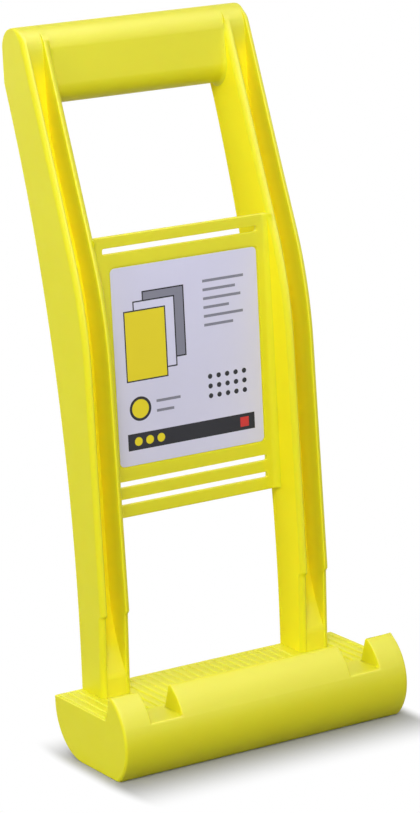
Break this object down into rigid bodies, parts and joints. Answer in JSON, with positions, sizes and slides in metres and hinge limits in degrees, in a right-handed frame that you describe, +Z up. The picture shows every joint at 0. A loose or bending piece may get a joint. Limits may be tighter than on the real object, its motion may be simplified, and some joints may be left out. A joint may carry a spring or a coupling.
{
  "type": "panel carrier",
  "caption": "Tall moulded carrier for building panels: a grip bar on two channel legs, a slotted label plate between them and a ribbed tread with a notched front lip that hooks under the panel.",
  "frame": {"origin": "middle of the overall box, on the floor under the base", "axes": "+X to the right as seen from the front, +Y to the back, +Z up along the legs to the handle"},
  "size_m": [0.165, 0.1192, 0.358],
  "materials": {
    "yellow_plastic": "satin moulded polypropylene, lemon yellow",
    "label_film": "printed film with a soft sheen"
  },
  "bodies": {
    "root": {"handle_bar": "yellow_plastic", "handle_ribs": "yellow_plastic", "left_outer_wall": "yellow_plastic", "right_outer_wall": "yellow_plastic", "left_inner_wall": "yellow_plastic", "right_inner_wall": "yellow_plastic", "left_web": "yellow_plastic", "right_web": "yellow_plastic", "left_foot_ramp": "yellow_plastic", "right_foot_ramp": "yellow_plastic", "left_leg_ribs": "yellow_plastic", "right_leg_ribs": "yellow_plastic", "label_plate": "yellow_plastic", "label": "label_film", "tread": "yellow_plastic", "tread_ribs": "yellow_plastic", "front_skin": "yellow_plastic", "base_floor": "yellow_plastic", "left_end": "yellow_plastic", "right_end": "yellow_plastic", "centre_lip": "yellow_plastic", "left_lug": "yellow_plastic", "right_lug": "yellow_plastic", "base_ribs": "yellow_plastic"}
  },
  "joints": []
}
